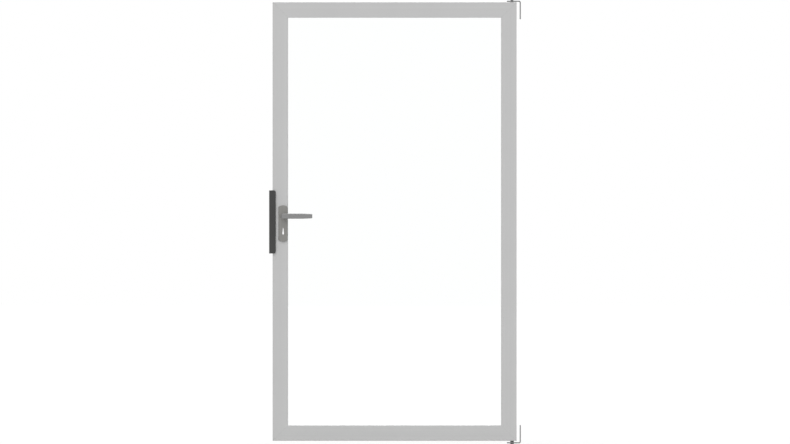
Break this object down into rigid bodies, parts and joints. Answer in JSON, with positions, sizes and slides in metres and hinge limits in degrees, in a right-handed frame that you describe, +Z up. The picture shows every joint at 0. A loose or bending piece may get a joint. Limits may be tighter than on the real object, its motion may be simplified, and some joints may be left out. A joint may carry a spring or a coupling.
{
  "type": "glass door",
  "caption": "Clear glass door in a slim mitred metal frame, hung on top and bottom pivot brackets, with a lever lock and its keep.",
  "frame": {"origin": "midway between the wall planes of the keep and of the pivot brackets, in the middle of the leaf's thickness, at the foot of the bottom pivot pin", "axes": "+X runs across the opening from the keep to the pivots, +Y points to the side the leaf opens to, +Z is up"},
  "size_m": [1.176, 0.158, 2.089],
  "materials": {
    "frame_profile": "satin",
    "pane": "polished",
    "glazing_gasket": "matte",
    "glazing_block": "matte",
    "corner_casting": "matte",
    "bracket_steel": "satin",
    "pin_steel": "satin",
    "bush": "satin",
    "lock_steel": "satin",
    "faceplate_steel": "satin",
    "bolt_metal": "satin",
    "handle_metal": "satin",
    "spindle_steel": "satin",
    "screw_steel": "satin",
    "lever_ring": "matte",
    "keep_coating": "matte",
    "buffer_rubber": "matte"
  },
  "bodies": {
    "wall_fixings": {"bottom_bracket": "bracket_steel", "bottom_pin_nut": "pin_steel", "bottom_pivot_pin": "pin_steel", "keep_body": "keep_coating", "keep_buffer": "buffer_rubber", "strike_plate": "faceplate_steel", "top_bracket": "bracket_steel", "top_pivot_pin": "pin_steel"},
    "leaf": {"bottom_rail": "frame_profile", "corner_cleat_bottom": "corner_casting", "corner_cleat_top": "corner_casting", "faceplate_screws": "screw_steel", "front_gasket_bottom": "glazing_gasket", "front_gasket_hinge": "glazing_gasket", "front_gasket_lock": "glazing_gasket", "front_gasket_top": "glazing_gasket", "glass_pane": "pane", "glazing_bead_bottom": "frame_profile", "glazing_bead_hinge": "frame_profile", "glazing_bead_lock": "frame_profile", "glazing_bead_top": "frame_profile", "handle_screws": "screw_steel", "hinge_stile": "frame_profile", "inner_handle_plate": "handle_metal", "lever_rings": "lever_ring", "location_block_bottom": "glazing_block", "location_block_top": "glazing_block", "lock_case": "lock_steel", "lock_cover": "lock_steel", "lock_faceplate": "faceplate_steel", "lock_stile": "frame_profile", "outer_handle_plate": "handle_metal", "pivot_bushes": "bush", "pivot_corner_bottom": "corner_casting", "pivot_corner_top": "corner_casting", "rear_gasket_bottom": "glazing_gasket", "rear_gasket_hinge": "glazing_gasket", "rear_gasket_lock": "glazing_gasket", "rear_gasket_top": "glazing_gasket", "setting_block_hinge_side": "glazing_block", "setting_block_lock_side": "glazing_block", "top_rail": "frame_profile"},
    "lever_set": {"inner_lever": "handle_metal", "lock_follower": "lock_steel", "outer_lever": "handle_metal", "spindle": "spindle_steel"},
    "latch": {"latch_bolt": "bolt_metal"},
    "dead_bolt": {"dead_bolt": "bolt_metal"}
  },
  "joints": [
    {"name": "leaf_swing", "type": "hinge", "parent": "wall_fixings", "child": "leaf", "pos_m": [0.547, 0, 0.024], "axis": [0, 0, -1], "range_deg": [0, 90]},
    {"name": "lever_turn", "type": "hinge", "parent": "leaf", "child": "lever_set", "pos_m": [-0.523, 0, 1.074], "axis": [0, 1, 0], "range_deg": [0, 40], "stiffness_Nm_per_rad": 1, "springref_deg": -34.38},
    {"name": "latch_slide", "type": "slide", "parent": "leaf", "child": "latch", "axis": [1, 0, 0], "range_m": [0, 0.012]},
    {"name": "dead_bolt_slide", "type": "slide", "parent": "leaf", "child": "dead_bolt", "axis": [-1, 0, 0], "range_m": [0, 0.012]}
  ],
  "couplings": [
    {"joint": "latch_slide", "follows": "lever_turn", "m_per_rad": 0.01718}
  ]
}
